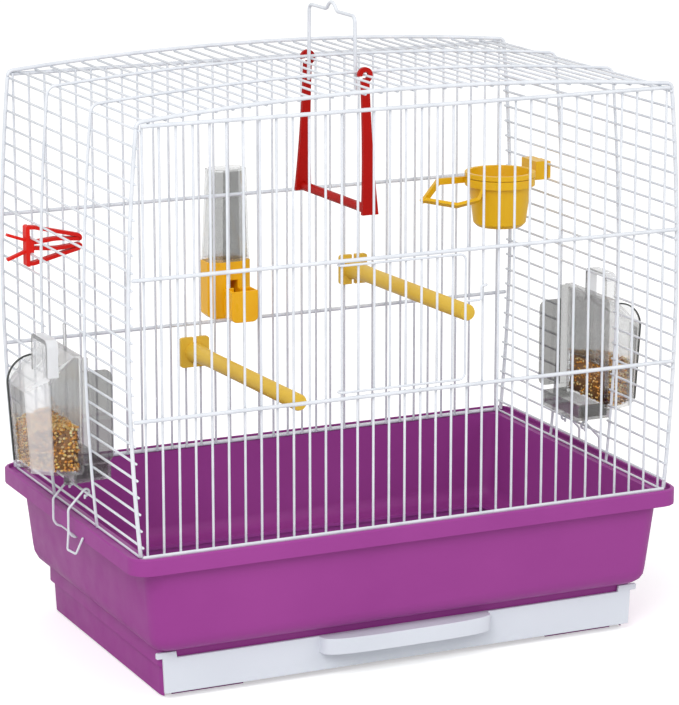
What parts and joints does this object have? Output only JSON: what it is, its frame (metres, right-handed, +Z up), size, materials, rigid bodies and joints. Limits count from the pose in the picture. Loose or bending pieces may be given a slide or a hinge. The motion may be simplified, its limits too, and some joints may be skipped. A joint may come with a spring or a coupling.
{
  "type": "bird cage",
  "caption": "Rectangular wire bird cage on a deep moulded tub with a slide-out litter drawer, front door, swivelling seed feeders, drinker, perches, swing and carry handle.",
  "frame": {"origin": "under the middle of the whole part's bounding box, at floor level", "axes": "+X to the right along the front, +Y to the back, +Z up; the door and the drawer face -Y"},
  "size_m": [0.447, 0.2752, 0.4188],
  "materials": {
    "wire_paint": "white powder coat, satin",
    "purple_plastic": "moulded, soft gloss",
    "grey_plastic": "moulded, soft gloss",
    "clear_plastic": "clear, polished",
    "yellow_plastic": "moulded, satin",
    "amber_plastic": "moulded, slightly see-through",
    "orange_plastic": "moulded, gloss",
    "red_plastic": "moulded, satin"
  },
  "bodies": {
    "cage": {"base_tub": "purple_plastic", "front_panel": "wire_paint", "back_panel": "wire_paint", "left_side": "wire_paint", "right_side": "wire_paint", "roof_panel": "wire_paint", "front_rail_low": "wire_paint", "front_rail_mid": "wire_paint", "back_rail_low": "wire_paint", "back_rail_mid": "wire_paint", "arch_mid_front": "wire_paint", "arch_mid_back": "wire_paint", "perch_low": "yellow_plastic", "perch_high": "yellow_plastic", "drinker_base": "orange_plastic", "drinker_bottle": "clear_plastic", "cup_holder": "amber_plastic", "greens_clip": "red_plastic"},
    "drawer": {"drawer": "grey_plastic"},
    "front_door": {"front_door": "wire_paint"},
    "feeder_left": {"feeder_left": "clear_plastic"},
    "feeder_right": {"feeder_right": "clear_plastic"},
    "latch_left": {"latch_left": "wire_paint"},
    "latch_right": {"latch_right": "wire_paint"},
    "carry_handle": {"carry_handle": "wire_paint"},
    "swing": {"swing": "red_plastic"},
    "bath_cup": {"bath_cup": "amber_plastic"}
  },
  "joints": [
    {"name": "drawer_slide", "type": "slide", "parent": "cage", "child": "drawer", "axis": [0, -1, 0], "range_m": [0, 0.19]},
    {"name": "door_hinge", "type": "hinge", "parent": "cage", "child": "front_door", "pos_m": [-0.04927, -0.12785, 0.189], "axis": [0, 0, -1], "range_deg": [0, 150]},
    {"name": "feeder_left_swivel", "type": "hinge", "parent": "cage", "child": "feeder_left", "pos_m": [-0.19, -0.01265, 0.1245], "axis": [0, 0, 1], "range_deg": [0, 180]},
    {"name": "feeder_right_swivel", "type": "hinge", "parent": "cage", "child": "feeder_right", "pos_m": [0.19, -0.01265, 0.1245], "axis": [0, 0, 1], "range_deg": [0, 180]},
    {"name": "latch_left_hinge", "type": "hinge", "parent": "cage", "child": "latch_left", "pos_m": [-0.18508, -0.01265, 0.11567], "axis": [0, 1, 0], "range_deg": [0, 60]},
    {"name": "latch_right_hinge", "type": "hinge", "parent": "cage", "child": "latch_right", "pos_m": [0.18508, -0.01265, 0.11567], "axis": [0, -1, 0], "range_deg": [0, 60]},
    {"name": "handle_slide", "type": "slide", "parent": "cage", "child": "carry_handle", "axis": [0, 0, 1], "range_m": [-0.032, 0]},
    {"name": "swing_hinge", "type": "hinge", "parent": "cage", "child": "swing", "pos_m": [0, -0.01265, 0.37548], "axis": [0, 1, 0], "range_deg": [-40, 40]},
    {"name": "cup_lift", "type": "slide", "parent": "cage", "child": "bath_cup", "axis": [0, 0, 1], "range_m": [0, 0.045]}
  ]
}
